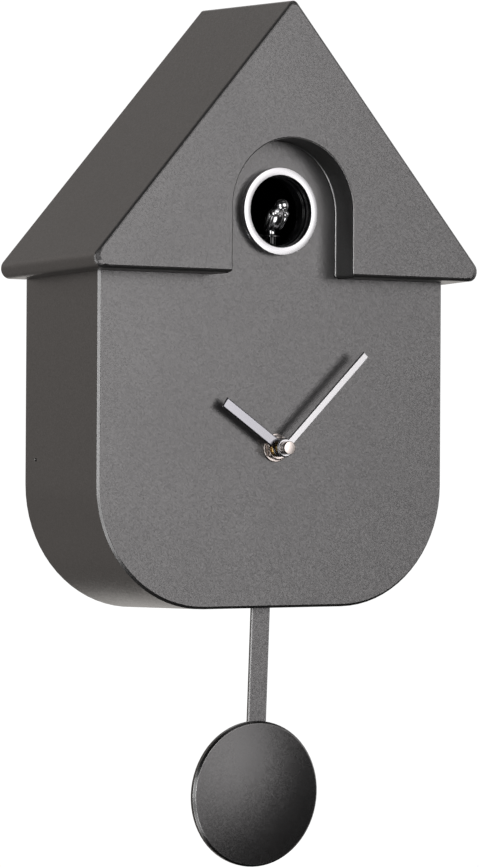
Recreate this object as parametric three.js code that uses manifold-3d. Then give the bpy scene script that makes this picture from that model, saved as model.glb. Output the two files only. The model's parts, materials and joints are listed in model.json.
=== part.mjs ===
// House-shaped wall cuckoo clock with a gable roof, an arched recess with a round bird
// window, two hands and a disc pendulum, together with the works behind the front.
//
// Millimetres. X is to the right, Y is into the wall and Z is up. Every piece is drawn
// about the centre of the hands, with Y = 0 on the rear rim. addPiece then moves it down,
// so that the origin is the point of the hanger plate that rests on the wall screw.

import * as THREE from "three";
import { mergeVertices } from "three/addons/utils/BufferGeometryUtils.js";
import Module from "manifold-3d";

const wasm = await Module();
wasm.setup();

// Overall shape.
const HOOK_HEIGHT = 172;
const ROOF_FRONT = -77.8;
const FACE = -63;
const REAR = 0;
const WALL = 2.5;
const GAP = 0.35;
const EDGE_BEVEL = 1.1;

// Roof outline at the front: sharp corners, then the rounding and the mould draft.
const EAVE_HALF_WIDTH = 108.2;
const EAVE_HEIGHT = 77.9;
const APEX_HEIGHT = 202.7;
const EAVE_ROUNDING = 4.6;
const APEX_ROUNDING = 2.5;
const ROOF_DRAFT = 0.028;
const ROOF_ANGLE = Math.atan2(APEX_HEIGHT - EAVE_HEIGHT, EAVE_HALF_WIDTH);

// Body outline at the front.
const BODY_HALF_WIDTH = 92.7;
const BODY_BOTTOM = -72.5;
const BODY_CORNER = 55.4;
const BODY_DRAFT = 0.022;
const BODY_TOP = 84;

// Arched recess and the round window, which share one centre.
const WINDOW_HEIGHT = 107;
const ARCH_RADIUS = 32.3;
const ARCH_FOOT_ROUNDING = 1.6;
const ARCH_LIP = 0.7;
const RING_OUTER = 19.8;
const RING_INNER = 16.4;
const RING_FRONT = FACE - 4.2;
const SPIGOT_RADIUS = 18;

// Hands and motion work.
const HOUR_ANGLE = THREE.MathUtils.degToRad(304.1);
const MINUTE_ANGLE = THREE.MathUtils.degToRad(45.6);
const HOUR_HAND = { length: 36.4, width: 5, hub: 4.1, front: FACE - 5.6, thickness: 0.9 };
const MINUTE_HAND = { length: 61.4, width: 3.7, hub: 4.3, front: FACE - 9.2, thickness: 0.9 };
const ARBOR_RADIUS = 1.2;
const HOUR_TUBE_RADIUS = 3.1;
const NUT_TURN = THREE.MathUtils.degToRad(12);
const BUSH_RADIUS = 4;
const BUSH_FRONT = FACE - 4;
const CANNON_MODULE = 0.35;
const CANNON_TEETH = 12;
const MOTION_TEETH = 36;
const HOUR_PINION_TEETH = 10;
const HOUR_TEETH = 40;
const MOTION_X = (CANNON_MODULE * (CANNON_TEETH + MOTION_TEETH)) / 2;
const HOUR_MODULE = (2 * MOTION_X) / (HOUR_PINION_TEETH + HOUR_TEETH);
const MOVEMENT_HALF_WIDTH = 28;
const MOVEMENT_TOP = 20;
const MOVEMENT_BOTTOM = -35;
const MOVEMENT_FRONT = FACE + 2.8;
const MOVEMENT_SPLIT = FACE + 12.5;
const MOVEMENT_REAR = FACE + 19;

// Pendulum, swung a little from the vertical as it is stored.
const PIVOT_HEIGHT = -42;
const SWING = THREE.MathUtils.degToRad(2);
const ROD_FRONT = FACE + 8.9;
const ROD_THICKNESS = 1.6;
const ROD_HALF_WIDTH = 4.95;
const ROD_TOP = -45.5;
const BOB_HEIGHT = -157.3;
const BOB_RADIUS = 33.1;
const BOB_FRONT = FACE + 7.5;
const BOB_THICKNESS = 2.8;
const BOB_BEVEL = 1;
const BOB_CROWN = 2.5;
const BOB_NOD = THREE.MathUtils.degToRad(0.6);
const BOB_TURN = THREE.MathUtils.degToRad(-1);
const PIN_RADIUS = 1.2;
const DRIVE_FRONT = FACE + 16.5;

// Bird and its carriage, which a pinion pushes out of the window.
const BIRD_DEPTH = FACE + 4;
const POST_RADIUS = 1.7;
const CARRIAGE_BOTTOM = 92.6;
const CARRIAGE_TOP = 94.6;
const CARRIAGE_HALF_WIDTH = 3;
const RACK_MODULE = 0.6;
const PINION_TEETH = 14;
const PINION_DEPTH = FACE + 25;
const PINION_HEIGHT = CARRIAGE_BOTTOM - 1.25 * RACK_MODULE - (RACK_MODULE * PINION_TEETH) / 2;

// Back cover and what it carries.
const COVER_THICKNESS = 3;
const COVER_FRONT = REAR - COVER_THICKNESS;
const COVER_SCREWS = [
  { name: "cover_screw_upper_left", x: -62, z: 108 },
  { name: "cover_screw_upper_right", x: 62, z: 108 },
  { name: "cover_screw_lower_left", x: -72, z: -38 },
  { name: "cover_screw_lower_right", x: 72, z: -38 },
];
const ROOF_SCREW_X = 54;
const ROOF_SCREW_HEIGHT = 92;
const GUIDE_SCREW_X = 11;
const GUIDE_SCREW_HEIGHT = 80;
const SCREW_RADIUS = 1.4;
const SPEAKER_HEIGHT = 128;
const SPEAKER_RADIUS = 20;
const BOARD_FRONT = -12.4;
const BOARD_THICKNESS = 1.6;
const BATTERY_HEIGHT = -40;
const CELL_RADIUS = 7.2;
const CELL_LENGTH = 50;
const VOLUME = { x: -30, z: 52 };
const TEST_BUTTON = { x: 30, z: 52 };
const PAD = { x: 34, z: -62 };
const SENSOR = { y: -9.4, z: -6, radius: 0.9 };

const FINISHES = {
  anthracite: { color: 0x6f6e6d, metalness: 0.45, roughness: 0.45 },
  black_plastic: { color: 0x1a1a1b, metalness: 0, roughness: 0.5 },
  gloss_black: { color: 0x0c0c0d, metalness: 0, roughness: 0.12 },
  silver: { color: 0xd8d8d8, metalness: 1, roughness: 0.25 },
  nickel: { color: 0xb9b7b2, metalness: 1, roughness: 0.3 },
  brass: { color: 0xb08d46, metalness: 1, roughness: 0.35 },
  steel: { color: 0x9a9c9f, metalness: 1, roughness: 0.4 },
  white_plastic: { color: 0xe4e2dc, metalness: 0, roughness: 0.45 },
  copper: { color: 0xb5653a, metalness: 1, roughness: 0.4 },
  circuit_board: { color: 0x1d5a36, metalness: 0, roughness: 0.5 },
  rubber: { color: 0x202020, metalness: 0, roughness: 0.9 },
  paper: { color: 0x3b3a38, metalness: 0, roughness: 0.95 },
  cell_jacket: { color: 0x8a6a2c, metalness: 0.6, roughness: 0.35 },
};

const clock = new THREE.Group();
clock.name = "cuckoo_clock";

function addPiece(name, finish, geometry) {
  geometry.deleteAttribute("uv");
  geometry.translate(0, 0, -HOOK_HEIGHT);
  geometry.computeVertexNormals();
  const mesh = new THREE.Mesh(geometry, new THREE.MeshStandardMaterial(FINISHES[finish]));
  mesh.name = name;
  mesh.material.name = finish;
  clock.add(mesh);
}

// Solid modelling.

function toSolid(geometry) {
  const bare = new THREE.BufferGeometry();
  bare.setAttribute("position", geometry.getAttribute("position"));
  bare.setIndex(geometry.getIndex());
  const welded = mergeVertices(bare, 1e-4);
  const corners = welded.getIndex().array;
  const faces = [];
  for (let i = 0; i < corners.length; i += 3) {
    const [a, b, c] = [corners[i], corners[i + 1], corners[i + 2]];
    if (a !== b && b !== c && c !== a) {
      faces.push(a, b, c);
    }
  }
  const mesh = new wasm.Mesh({
    numProp: 3,
    vertProperties: new Float32Array(welded.getAttribute("position").array),
    triVerts: new Uint32Array(faces),
  });
  return new wasm.Manifold(mesh);
}

function toGeometry(solid) {
  const mesh = solid.getMesh();
  const geometry = new THREE.BufferGeometry();
  geometry.setAttribute("position", new THREE.BufferAttribute(mesh.vertProperties, 3));
  geometry.setIndex(new THREE.BufferAttribute(mesh.triVerts, 1));
  return geometry;
}

function join(...geometries) {
  return toGeometry(geometries.map(toSolid).reduce((whole, next) => whole.add(next)));
}

function cut(geometry, ...tools) {
  return toGeometry(tools.map(toSolid).reduce((rest, tool) => rest.subtract(tool), toSolid(geometry)));
}

function common(first, second) {
  return toGeometry(toSolid(first).intersect(toSolid(second)));
}

// Basic shapes. A pair of numbers is a low and a high limit.

function box([x0, x1], [y0, y1], [z0, z1]) {
  const geometry = new THREE.BoxGeometry(x1 - x0, y1 - y0, z1 - z0);
  return geometry.translate((x0 + x1) / 2, (y0 + y1) / 2, (z0 + z1) / 2);
}

function pin(radius, [front, rear], x, z, sides = 20) {
  const geometry = new THREE.CylinderGeometry(radius, radius, rear - front, sides);
  return geometry.translate(x, (front + rear) / 2, z);
}

function crossPin(radius, [left, right], y, z, sides = 20) {
  const geometry = new THREE.CylinderGeometry(radius, radius, right - left, sides);
  return geometry.rotateZ(Math.PI / 2).translate((left + right) / 2, y, z);
}

function uprightPin(radius, [low, high], x, y, sides = 20) {
  const geometry = new THREE.CylinderGeometry(radius, radius, high - low, sides);
  return geometry.rotateX(Math.PI / 2).translate(x, y, (low + high) / 2);
}

// A profile of [radius, y] pairs, turned about the Y axis. It runs from the front of the
// axis round the outside to the rear, or round a closed loop in the same direction.
function turned(profile, x, z, sides = 32) {
  const points = profile.map(([radius, y]) => new THREE.Vector2(radius, y));
  return new THREE.LatheGeometry(points, sides).translate(x, 0, z);
}

function tube(outer, inner, [front, rear], x, z, sides = 32) {
  return turned([[inner, front], [outer, front], [outer, rear], [inner, rear], [inner, front]], x, z, sides);
}

function plate(points, [front, rear]) {
  return loft([{ y: front, points }, { y: rear, points }]);
}

// Sections of equal point count, counter-clockwise seen from the front, joined from the
// front one to the rear one.
function loft(sections) {
  const count = sections[0].points.length;
  const positions = sections.flatMap(({ y, points }) => points.flatMap((point) => [point.x, y, point.y]));
  const faces = [];
  for (let row = 0; row + 1 < sections.length; row += 1) {
    for (let i = 0; i < count; i += 1) {
      const a = row * count + i;
      const b = row * count + ((i + 1) % count);
      faces.push(a, a + count, b, b, a + count, b + count);
    }
  }
  const rearStart = (sections.length - 1) * count;
  for (const [a, b, c] of THREE.ShapeUtils.triangulateShape([...sections[0].points], [])) {
    faces.push(a, b, c, rearStart + c, rearStart + b, rearStart + a);
  }
  const geometry = new THREE.BufferGeometry();
  geometry.setAttribute("position", new THREE.Float32BufferAttribute(positions, 3));
  geometry.setIndex(faces);
  return geometry;
}

// A shape drawn in the YZ plane and given a width along X.
function sideProfile(points, [left, right]) {
  const shape = new THREE.Shape(points.map(([y, z]) => new THREE.Vector2(y, z)));
  const geometry = new THREE.ExtrudeGeometry(shape, { depth: right - left, bevelEnabled: false });
  const axes = new THREE.Matrix4().makeBasis(
    new THREE.Vector3(0, 1, 0),
    new THREE.Vector3(0, 0, 1),
    new THREE.Vector3(1, 0, 0),
  );
  return geometry.applyMatrix4(axes).translate(left, 0, 0);
}

// Outlines.

function arc(x, z, radius, from, to, steps) {
  const points = [];
  for (let i = 0; i <= steps; i += 1) {
    const angle = from + ((to - from) * i) / steps;
    points.push(new THREE.Vector2(x + radius * Math.cos(angle), z + radius * Math.sin(angle)));
  }
  return points;
}

// Rounds each [x, z, radius, steps] corner of a counter-clockwise convex polygon.
function rounded(corners) {
  return corners.flatMap(([x, z, radius, steps], i) => {
    const corner = new THREE.Vector2(x, z);
    const before = corners[(i + corners.length - 1) % corners.length];
    const after = corners[(i + 1) % corners.length];
    const back = new THREE.Vector2(before[0] - x, before[1] - z).normalize();
    const ahead = new THREE.Vector2(after[0] - x, after[1] - z).normalize();
    const half = Math.acos(back.dot(ahead)) / 2;
    const inward = back.clone().add(ahead).normalize();
    const centre = corner.add(inward.multiplyScalar(radius / Math.sin(half)));
    const start = Math.atan2(-back.x, back.y) + Math.PI;
    return arc(centre.x, centre.y, radius, start, start + Math.PI - 2 * half, steps);
  });
}

function roofOutline(grow) {
  const apex = APEX_HEIGHT + grow / Math.cos(ROOF_ANGLE);
  const eave = EAVE_HEIGHT - grow;
  const halfWidth = (apex - eave) / Math.tan(ROOF_ANGLE);
  return rounded([
    [-halfWidth, eave, EAVE_ROUNDING, 8],
    [halfWidth, eave, EAVE_ROUNDING, 8],
    [0, apex, APEX_ROUNDING, 8],
  ]);
}

function bodyOutline(grow, top = BODY_TOP) {
  const halfWidth = BODY_HALF_WIDTH + grow;
  const bottom = BODY_BOTTOM - grow;
  return rounded([
    [-halfWidth, bottom, BODY_CORNER + grow, 18],
    [halfWidth, bottom, BODY_CORNER + grow, 18],
    [halfWidth, top, 0.4, 1],
    [-halfWidth, top, 0.4, 1],
  ]);
}

// The arch, with its foot flared where it breaks through the roof's lower edge.
function archOutline(grow, foot) {
  const radius = ARCH_RADIUS + grow;
  const flare = ARCH_FOOT_ROUNDING;
  return [
    new THREE.Vector2(-radius - flare, foot),
    new THREE.Vector2(radius + flare, foot),
    ...arc(radius + flare, EAVE_HEIGHT + flare, flare, 1.5 * Math.PI, Math.PI, 4),
    ...arc(0, WINDOW_HEIGHT, radius, 0, Math.PI, 36),
    ...arc(-radius - flare, EAVE_HEIGHT + flare, flare, 0, -0.5 * Math.PI, 4),
  ];
}

function gearOutline(teeth, module, phase, x = 0, z = 0) {
  const pitch = (2 * Math.PI) / teeth;
  const tip = module * (teeth / 2 + 0.85);
  const root = module * (teeth / 2 - 1.15);
  const flanks = [[root, -0.27], [tip, -0.11], [tip, 0.11], [root, 0.27]];
  const points = [];
  for (let i = 0; i < teeth; i += 1) {
    for (const [radius, offset] of flanks) {
      const angle = phase + pitch * (i + offset);
      points.push(new THREE.Vector2(x + radius * Math.cos(angle), z + radius * Math.sin(angle)));
    }
  }
  return points;
}

// The case: roof, body, back cover and what fastens them.

function roofShell() {
  const growth = (y) => ROOF_DRAFT * (y - ROOF_FRONT);
  const bevelRear = ROOF_FRONT + EDGE_BEVEL;
  const outside = loft([
    { y: ROOF_FRONT, points: roofOutline(-EDGE_BEVEL) },
    { y: bevelRear, points: roofOutline(growth(bevelRear)) },
    { y: REAR, points: roofOutline(growth(REAR)) },
  ]);
  const cavityFront = ROOF_FRONT + WALL;
  const cavity = loft([
    { y: cavityFront, points: roofOutline(growth(cavityFront) - WALL) },
    { y: REAR + 1, points: roofOutline(growth(REAR + 1) - WALL) },
  ]);
  const skirt = common(outside, plate(archOutline(2, EAVE_HEIGHT - 3), [ROOF_FRONT + 2, FACE - GAP]));
  const archFoot = EAVE_HEIGHT - 12;
  const archCut = loft([
    { y: ROOF_FRONT - 0.5, points: archOutline(0.9, archFoot) },
    { y: ROOF_FRONT + 0.4, points: archOutline(0, archFoot) },
    { y: FACE - GAP - ARCH_LIP, points: archOutline(0, archFoot) },
    { y: FACE - GAP, points: archOutline(-ARCH_LIP, archFoot) },
    { y: FACE + 0.5, points: archOutline(-ARCH_LIP, archFoot) },
  ]);
  const bodyCut = loft([
    { y: FACE - GAP, points: bodyOutline(GAP) },
    { y: REAR + 1, points: bodyOutline(GAP + BODY_DRAFT * (REAR + 1 - FACE)) },
  ]);
  const coverPosts = COVER_SCREWS.filter(({ z }) => z > EAVE_HEIGHT).map(({ x, z }) =>
    tube(4.5, SCREW_RADIUS + 0.1, [ROOF_FRONT + 1.5, COVER_FRONT - GAP], x, z, 16));
  const bodyPosts = [-ROOF_SCREW_X, ROOF_SCREW_X].map((x) =>
    tube(4, SCREW_RADIUS + 0.1, [ROOF_FRONT + 1.5, FACE - GAP], x, ROOF_SCREW_HEIGHT, 16));
  const hollow = join(cut(outside, cavity), skirt);
  return join(cut(hollow, archCut, bodyCut), ...coverPosts, ...bodyPosts);
}

function bodyShell() {
  const growth = (y) => BODY_DRAFT * (y - FACE);
  const bevelRear = FACE + EDGE_BEVEL;
  const outside = loft([
    { y: FACE, points: bodyOutline(-EDGE_BEVEL) },
    { y: bevelRear, points: bodyOutline(growth(bevelRear)) },
    { y: REAR, points: bodyOutline(growth(REAR)) },
  ]);
  const cavityFront = FACE + WALL;
  const openTop = BODY_TOP + 20;
  const cavity = loft([
    { y: cavityFront, points: bodyOutline(growth(cavityFront) - WALL, openTop) },
    { y: REAR + 1, points: bodyOutline(growth(REAR + 1) - WALL, openTop) },
  ]);
  const tongueRadius = ARCH_RADIUS + 4;
  const shoulder = 76;
  const tongue = plate([
    new THREE.Vector2(-shoulder, BODY_TOP - 8),
    new THREE.Vector2(shoulder, BODY_TOP - 8),
    new THREE.Vector2(shoulder, 100),
    new THREE.Vector2(tongueRadius, 100),
    ...arc(0, WINDOW_HEIGHT, tongueRadius, 0, Math.PI, 24),
    new THREE.Vector2(-tongueRadius, 100),
    new THREE.Vector2(-shoulder, 100),
  ], [FACE, cavityFront]);
  const through = [FACE - 1, cavityFront + 1];
  const holes = [
    pin(SPIGOT_RADIUS + GAP, through, 0, WINDOW_HEIGHT, 48),
    pin(BUSH_RADIUS + GAP, through, 0, 0),
    crossPin(SENSOR.radius, [-BODY_HALF_WIDTH - 5, -BODY_HALF_WIDTH + 5], SENSOR.y, SENSOR.z, 16),
    box([-13, 13], [FACE + 6, FACE + 15.5], [BODY_BOTTOM - 3, BODY_BOTTOM + 5]),
    ...[-ROOF_SCREW_X, ROOF_SCREW_X].map((x) =>
      pin(SCREW_RADIUS + GAP, through, x, ROOF_SCREW_HEIGHT, 12)),
  ];
  const coverPosts = COVER_SCREWS.filter(({ z }) => z < EAVE_HEIGHT).map(({ x, z }) =>
    tube(4.5, SCREW_RADIUS + 0.1, [FACE + 1.5, COVER_FRONT - GAP], x, z, 16));
  const guidePosts = [-GUIDE_SCREW_X, GUIDE_SCREW_X].map((x) =>
    tube(3, SCREW_RADIUS + 0.1, [FACE + 1.5, FACE + 5.7], x, GUIDE_SCREW_HEIGHT, 16));
  return join(cut(join(cut(outside, cavity), tongue), ...holes), ...coverPosts, ...guidePosts);
}

// The cover fills the rear opening of both shells, with a slot for the ends of the body's
// side walls, which reach a little way up into the roof.
function coverSheet() {
  const depth = [COVER_FRONT, REAR];
  const bodyGrowth = BODY_DRAFT * (COVER_FRONT - FACE);
  const roofGrowth = ROOF_DRAFT * (COVER_FRONT - ROOF_FRONT);
  const inner = -WALL - GAP;
  const bodyPart = plate(bodyOutline(bodyGrowth + inner, BODY_TOP + 6), depth);
  const wallSlot = cut(
    plate(bodyOutline(BODY_DRAFT * (REAR - FACE) + GAP, BODY_TOP + GAP), [depth[0] - 1, depth[1] + 1]),
    plate(bodyOutline(bodyGrowth + inner, BODY_TOP + 6), [depth[0] - 2, depth[1] + 2]),
  );
  const roofPart = cut(plate(roofOutline(roofGrowth + inner), depth), wallSlot);
  return join(roofPart, bodyPart);
}

function backCover() {
  const through = [COVER_FRONT - 1, REAR + 1];
  const hanger = HOOK_HEIGHT;
  const batteryZ = [BATTERY_HEIGHT - 15.5, BATTERY_HEIGHT + 15.5];
  const grille = [-12, -6, 0, 6, 12].map((dz) => {
    const reach = Math.sqrt(17 ** 2 - dz ** 2);
    return box([-reach, reach], through, [SPEAKER_HEIGHT + dz - 1.2, SPEAKER_HEIGHT + dz + 1.2]);
  });
  const screwHoles = COVER_SCREWS.flatMap(({ x, z }) => [
    pin(SCREW_RADIUS + GAP, through, x, z, 12),
    pin(3.2, [REAR - 1.6, REAR + 1], x, z, 16),
  ]);
  const padPockets = [-PAD.x, PAD.x].map((x) => pin(4.8, [REAR - 1.8, REAR + 1], x, PAD.z, 20));
  const openings = [
    box([-28.5, 28.5], through, batteryZ),
    box([-32, 32], [REAR - 1.8, REAR + 1], [batteryZ[0] - 3, batteryZ[1] + 3]),
    box([-12.4, 12.4], [REAR - 1.5, REAR + 1], [hanger - 17.4, hanger + 5.4]),
    box([-7, 7], through, [hanger - 15.5, hanger + 2.5]),
    pin(8.3, through, MOTION_X, 0, 24),
    box([VOLUME.x - 6, VOLUME.x + 6], through, [VOLUME.z - 2, VOLUME.z + 2]),
    pin(3.4, through, TEST_BUTTON.x, TEST_BUTTON.z, 20),
  ];
  const standoffs = [-41, 41].flatMap((x) => [28, 62].map((z) =>
    pin(2.6, [BOARD_FRONT + BOARD_THICKNESS + 0.05, COVER_FRONT + 0.5], x, z, 12)));
  const speakerLip = tube(SPEAKER_RADIUS + 2.6, SPEAKER_RADIUS + 0.5,
    [COVER_FRONT - 5, COVER_FRONT + 0.5], 0, SPEAKER_HEIGHT, 28);
  const bare = cut(coverSheet(), ...openings, ...grille, ...screwHoles, ...padPockets);
  return join(bare, ...standoffs, speakerLip);
}

function screw(x, z, headRear, length) {
  const headRadius = 2.8;
  const headFront = headRear - 1.5;
  const slot = box([x - 0.4, x + 0.4], [headRear - 0.7, headRear + 1], [z - 3, z + 3]);
  const body = turned([
    [0, headFront - length],
    [SCREW_RADIUS - 0.5, headFront - length],
    [SCREW_RADIUS, headFront - length + 1],
    [SCREW_RADIUS, headFront],
    [headRadius, headFront],
    [headRadius, headRear - 0.4],
    [headRadius - 0.6, headRear],
    [0, headRear],
  ], x, z, 14);
  return cut(body, slot);
}

function hangerPlate() {
  const z = HOOK_HEIGHT;
  const sheet = box([-12, 12], [REAR - 1.4, REAR], [z - 17, z + 5]);
  const through = [REAR - 3, REAR + 1];
  return cut(
    sheet,
    pin(5, through, 0, z - 10, 24),
    pin(2.3, through, 0, z - 2.3, 24),
    box([-2.3, 2.3], through, [z - 10, z - 2.3]),
  );
}

function batteryTray() {
  const middle = BATTERY_HEIGHT;
  const front = -21;
  const outside = box([-31, 31], [front, COVER_FRONT - 0.05], [middle - 17.5, middle + 17.5]);
  const inside = box([-28.5, 28.5], [front + 1.6, REAR], [middle - 15.5, middle + 15.5]);
  return cut(outside, inside);
}

function batteryDoor() {
  const low = BATTERY_HEIGHT - 18.2;
  const high = BATTERY_HEIGHT + 18.2;
  const panel = box([-31.7, 31.7], [REAR - 1.6, REAR], [low, high]);
  const ribs = [-4, 0, 4].map((x) => box([x - 0.7, x + 0.7], [REAR - 0.6, REAR + 1], [low + 4, low + 12]));
  return cut(panel, ...ribs);
}

function batteryCell(z, nubSide) {
  const half = CELL_LENGTH / 2 - 1;
  const y = -11.2;
  const barrel = crossPin(CELL_RADIUS, [-half, half], y, z, 24);
  const nub = nubSide > 0 ? [half - 0.2, half + 1.4] : [-half - 1.4, -half + 0.2];
  return join(barrel, crossPin(2.6, nub, y, z, 16));
}

function lightSensor() {
  const wallOutside = -BODY_HALF_WIDTH - BODY_DRAFT * (SENSOR.y - FACE);
  const wallInside = wallOutside + WALL;
  return join(
    crossPin(SENSOR.radius - 0.15, [wallOutside + 0.4, wallInside + 1], SENSOR.y, SENSOR.z, 16),
    crossPin(2.6, [wallInside + 0.3, wallInside + 4.5], SENSOR.y, SENSOR.z, 16),
  );
}

// The window.

function windowRing() {
  const profile = [
    [RING_INNER, RING_FRONT + 0.4],
    [RING_INNER + 0.4, RING_FRONT],
    [RING_OUTER - 0.4, RING_FRONT],
    [RING_OUTER, RING_FRONT + 0.4],
    [RING_OUTER, FACE - 0.05],
    [SPIGOT_RADIUS, FACE - 0.05],
    [SPIGOT_RADIUS, FACE + 4],
    [SPIGOT_RADIUS - 0.9, FACE + 4],
    [SPIGOT_RADIUS - 0.9, RING_FRONT + 3.2],
    [RING_INNER, RING_FRONT + 3.2],
    [RING_INNER, RING_FRONT + 0.4],
  ];
  return turned(profile, 0, WINDOW_HEIGHT, 56);
}

function windowLiner() {
  const outer = SPIGOT_RADIUS - 0.95;
  const profile = [
    [RING_INNER - 0.3, RING_FRONT + 3.3],
    [outer, RING_FRONT + 3.3],
    [outer, FACE + 7],
    [outer - 1.6, FACE + 7],
    [outer - 1.6, FACE + 0.9],
    [RING_INNER - 0.3, FACE + 0.3],
    [RING_INNER - 0.3, RING_FRONT + 3.3],
  ];
  return turned(profile, 0, WINDOW_HEIGHT, 36);
}

// The bird leans forward on its post; its parts are swept together into one moulding.
function bird() {
  const centre = new THREE.Vector3(0, FACE + 0.8, 104);
  const lump = (size, scale, tilt, place) =>
    new THREE.SphereGeometry(size, 14, 10)
      .scale(...scale)
      .rotateX(tilt)
      .translate(place[0], centre.y + place[1], centre.z + place[2]);
  const lean = THREE.MathUtils.degToRad(38);
  const torso = lump(4.7, [0.94, 1, 1.45], lean, [0, 0.2, -0.6]);
  const head = lump(3.3, [1, 1.06, 1], 0, [0, -4.6, 5.4]);
  const wings = [-1, 1].map((side) => lump(3.6, [0.42, 0.8, 1.5], lean, [side * 3.7, 1.4, -1.2]));
  const beak = new THREE.ConeGeometry(1.35, 4.2, 12)
    .scale(1, 1, 0.75)
    .rotateX(Math.PI)
    .translate(0, centre.y - 9, centre.z + 4.9);
  const tail = box([-2.2, 2.2], [-1, 5.5], [-0.7, 0.7])
    .rotateX(-lean / 2)
    .translate(0, centre.y + 3.4, centre.z - 3.2);
  const foot = uprightPin(1.9, [WINDOW_HEIGHT - 10.1, WINDOW_HEIGHT - 7], 0, BIRD_DEPTH, 16);
  return join(torso, head, ...wings, beak, tail, foot);
}

function birdPost() {
  const stem = uprightPin(POST_RADIUS, [CARRIAGE_BOTTOM, WINDOW_HEIGHT - 10.2], 0, BIRD_DEPTH, 20);
  const flange = uprightPin(3.9, [CARRIAGE_TOP + 1, CARRIAGE_TOP + 1.8], 0, BIRD_DEPTH, 24);
  return join(stem, flange);
}

function birdCarriage() {
  const pitch = Math.PI * RACK_MODULE;
  const bar = box([-CARRIAGE_HALF_WIDTH, CARRIAGE_HALF_WIDTH],
    [BIRD_DEPTH + POST_RADIUS + 0.05, FACE + 51], [CARRIAGE_BOTTOM, CARRIAGE_TOP]);
  const teeth = [];
  for (let i = -2; i < 7; i += 1) {
    const y = PINION_DEPTH + (i + 0.5) * pitch;
    const root = CARRIAGE_BOTTOM + 0.2;
    const tip = CARRIAGE_BOTTOM - 1.6 * RACK_MODULE;
    const profile = [
      [y - 0.27 * pitch, root],
      [y - 0.11 * pitch, tip],
      [y + 0.11 * pitch, tip],
      [y + 0.27 * pitch, root],
    ];
    teeth.push(sideProfile(profile, [-CARRIAGE_HALF_WIDTH + 0.6, CARRIAGE_HALF_WIDTH - 0.6]));
  }
  return join(bar, ...teeth);
}

// A rail beside the bar, with a closed guide round the bar at each end.
function carriageGuide() {
  const rail = sideProfile([
    [FACE + 6, 75],
    [FACE + 14, 75],
    [FACE + 20, 80],
    [FACE + 41, 80],
    [FACE + 41, 97],
    [FACE + 8, 97],
    [FACE + 8, 89.4],
    [FACE + 6, 89.4],
  ], [-8, -5]);
  const foot = box([-GUIDE_SCREW_X - 4, GUIDE_SCREW_X + 4], [FACE + 6, FACE + 8.5],
    [GUIDE_SCREW_HEIGHT - 4.5, GUIDE_SCREW_HEIGHT + 4.5]);
  const guides = [[FACE + 8, FACE + 12], [FACE + 36, FACE + 41]].map((depth) =>
    box([-5.1, 5], depth, [CARRIAGE_BOTTOM - 2, CARRIAGE_TOP + 2.4]));
  const bar = box([-CARRIAGE_HALF_WIDTH - 0.25, CARRIAGE_HALF_WIDTH + 0.25], [FACE, FACE + 60],
    [CARRIAGE_BOTTOM - 0.25, CARRIAGE_TOP + 0.25]);
  const rackWay = box([-CARRIAGE_HALF_WIDTH, CARRIAGE_HALF_WIDTH], [FACE, FACE + 60],
    [CARRIAGE_BOTTOM - 1.4, CARRIAGE_BOTTOM]);
  const shaftHole = crossPin(1.4, [-9, -4], PINION_DEPTH, PINION_HEIGHT, 16);
  const screwHoles = [-GUIDE_SCREW_X, GUIDE_SCREW_X].map((x) =>
    pin(SCREW_RADIUS + GAP, [FACE + 5, FACE + 10], x, GUIDE_SCREW_HEIGHT, 12));
  return cut(join(rail, foot, ...guides), bar, rackWay, shaftHole, ...screwHoles);
}

function rackPinion() {
  const outline = gearOutline(PINION_TEETH, RACK_MODULE, Math.PI / 2, PINION_DEPTH, PINION_HEIGHT);
  const wheel = sideProfile(outline.map((point) => [point.x, point.y]), [-2.2, 2.2]);
  const shaft = crossPin(0.9, [-8.2, 3], PINION_DEPTH, PINION_HEIGHT, 12);
  return join(wheel, shaft);
}

function cuckooMotor() {
  const can = crossPin(7.4, [-27, -8.6], PINION_DEPTH, PINION_HEIGHT, 28);
  const boss = crossPin(2.4, [-29, -26.9], PINION_DEPTH, PINION_HEIGHT, 16);
  return join(can, boss);
}

// Hands and movement.

function handOutline({ length, width, hub }, inset) {
  const side = width / 2 - inset;
  const round = hub - inset;
  const shoulder = Math.acos(side / round);
  return [
    ...arc(0, 0, round, Math.PI - shoulder, 2 * Math.PI + shoulder, 24),
    new THREE.Vector2(side, length - inset),
    new THREE.Vector2(-side, length - inset),
  ];
}

function hand(shape, angle, boreRadius) {
  const rear = shape.front + shape.thickness;
  const blank = loft([
    { y: shape.front, points: handOutline(shape, 0.45) },
    { y: shape.front + 0.3, points: handOutline(shape, 0) },
    { y: rear, points: handOutline(shape, 0) },
  ]);
  const bore = pin(boreRadius, [shape.front - 1, rear + 1], 0, 0, 24);
  return cut(blank, bore).rotateY(angle);
}

function dialWasher() {
  return tube(6.5, BUSH_RADIUS + 0.1, [FACE - 1.05, FACE - 0.05], 0, 0, 40);
}

function hexNut() {
  const nut = pin(5.8, [FACE - 3.3, FACE - 1.1], 0, 0, 6).rotateY(-NUT_TURN);
  const chamfer = turned([
    [0, FACE - 3.3],
    [5.1, FACE - 3.3],
    [6, FACE - 2.7],
    [6, FACE - 1.1],
    [0, FACE - 1.1],
  ], 0, 0, 36);
  return cut(common(nut, chamfer), pin(BUSH_RADIUS + 0.05, [FACE - 4, FACE], 0, 0, 32));
}

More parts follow.
